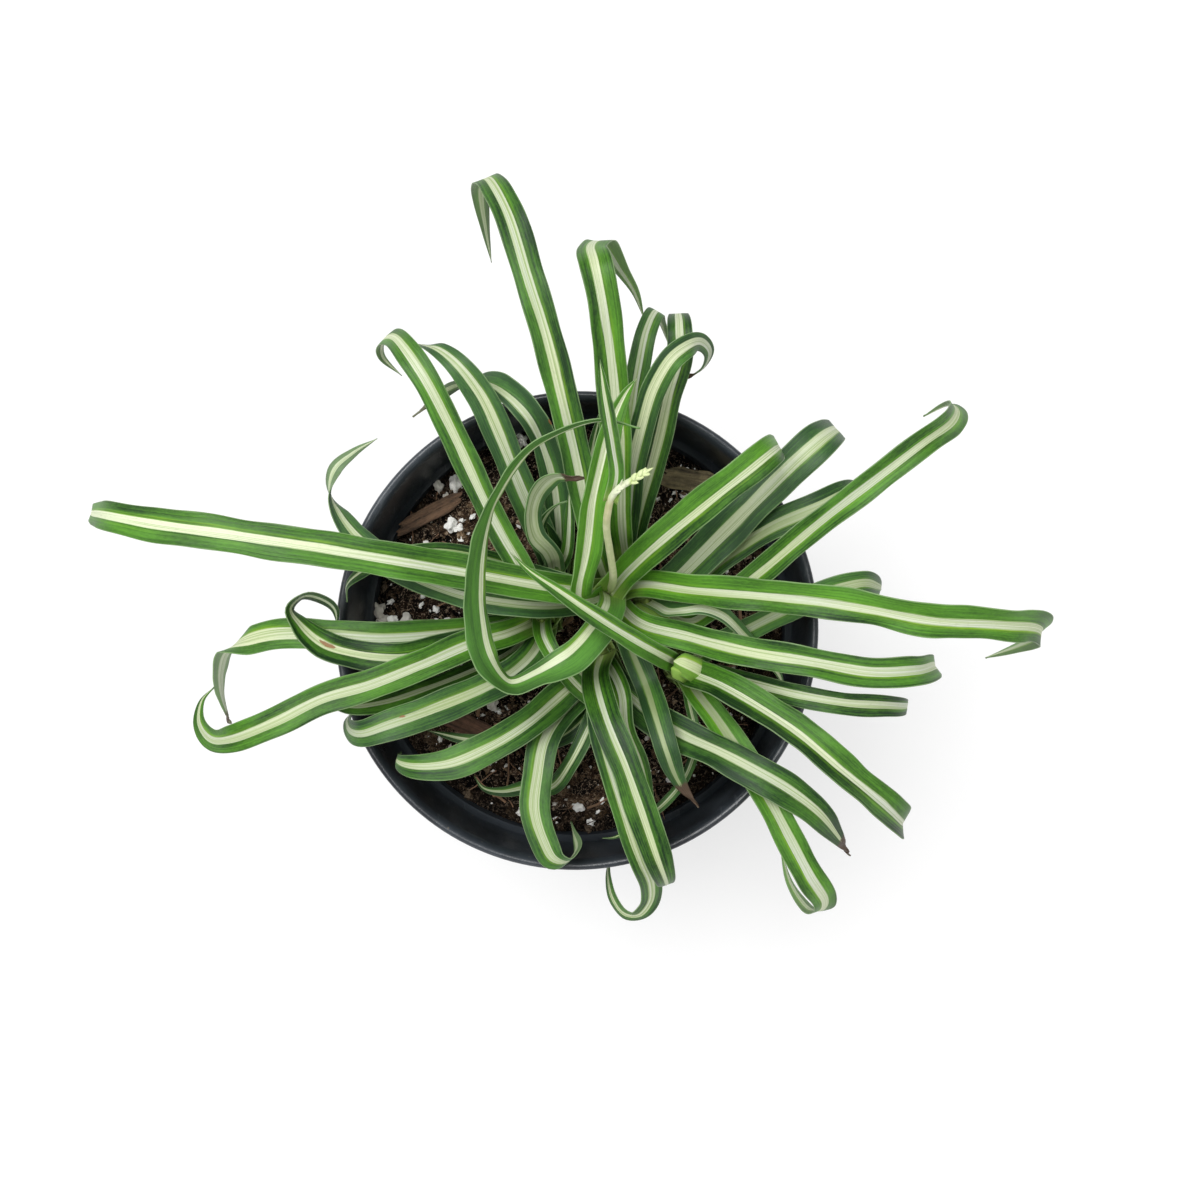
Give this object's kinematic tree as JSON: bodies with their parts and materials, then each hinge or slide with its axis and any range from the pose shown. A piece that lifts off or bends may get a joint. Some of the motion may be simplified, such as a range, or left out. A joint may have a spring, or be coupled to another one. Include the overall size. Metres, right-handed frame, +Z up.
{
  "type": "potted spider plant",
  "caption": "Spider plant with long arching cream-striped leaves and a young flower stalk, growing in dark soil in a round tapered black nursery pot.",
  "frame": {"origin": "centre of the pot's underside, on the surface that it stands on", "axes": "+Z up, +X to the right and +Y away in the view from above, with the longest leaves along X"},
  "size_m": [0.3039, 0.2277, 0.2303],
  "materials": {
    "pot": "satin black moulded plastic",
    "soil": "moist dark peat with white grains",
    "bark": "dry weathered bark",
    "crown": "pale green waxy leaf bases",
    "leaf": "satin leaf, green with cream stripes",
    "stalk": "pale yellow-green stem and buds"
  },
  "bodies": {
    "root": {"pot": "pot", "soil": "soil", "bark_north_west": "bark", "bark_north_east": "bark", "bark_south_west": "bark", "crown_centre": "crown", "crown_east": "crown", "crown_west": "crown", "crown_north_west": "crown", "crown_south": "crown", "leaf_west_curl": "leaf", "leaf_west_small": "leaf", "leaf_e_two": "leaf", "leaf_s_stripe": "leaf", "leaf_s_brown": "leaf", "leaf_west_long": "leaf", "leaf_n_long": "leaf", "leaf_ne_near": "leaf", "leaf_e_long": "leaf", "leaf_loop": "leaf", "leaf_n_near": "leaf", "leaf_n_small": "leaf", "leaf_n_fold": "leaf", "leaf_n_four": "leaf", "leaf_n_two": "leaf", "leaf_n_three": "leaf", "leaf_nw_long": "leaf", "leaf_w_drop": "leaf", "leaf_w_ring": "leaf", "leaf_wsw_long": "leaf", "leaf_wsw_low": "leaf", "leaf_sw_wide": "leaf", "leaf_s_tuck": "leaf", "leaf_s_long": "leaf", "leaf_sw_near": "leaf", "leaf_s_hook": "leaf", "leaf_s_loop": "leaf", "leaf_s_diag": "leaf", "leaf_s_broad": "leaf", "leaf_sw_tuck": "leaf", "leaf_se_wide": "leaf", "leaf_cross": "leaf", "leaf_se_long": "leaf", "leaf_se_low": "leaf", "leaf_e_short": "leaf", "leaf_s_arc": "leaf", "leaf_e_back": "leaf", "leaf_ne_mid": "leaf", "leaf_ne_low": "leaf", "leaf_ne_long": "leaf", "leaf_e_curl": "leaf", "leaf_nw_mid": "leaf", "leaf_nw_high": "leaf", "leaf_mid_curl": "leaf", "leaf_mid_thin": "leaf", "leaf_mid_dark": "leaf", "leaf_mid_pale": "leaf", "flower_stalk": "stalk"}
  },
  "joints": []
}
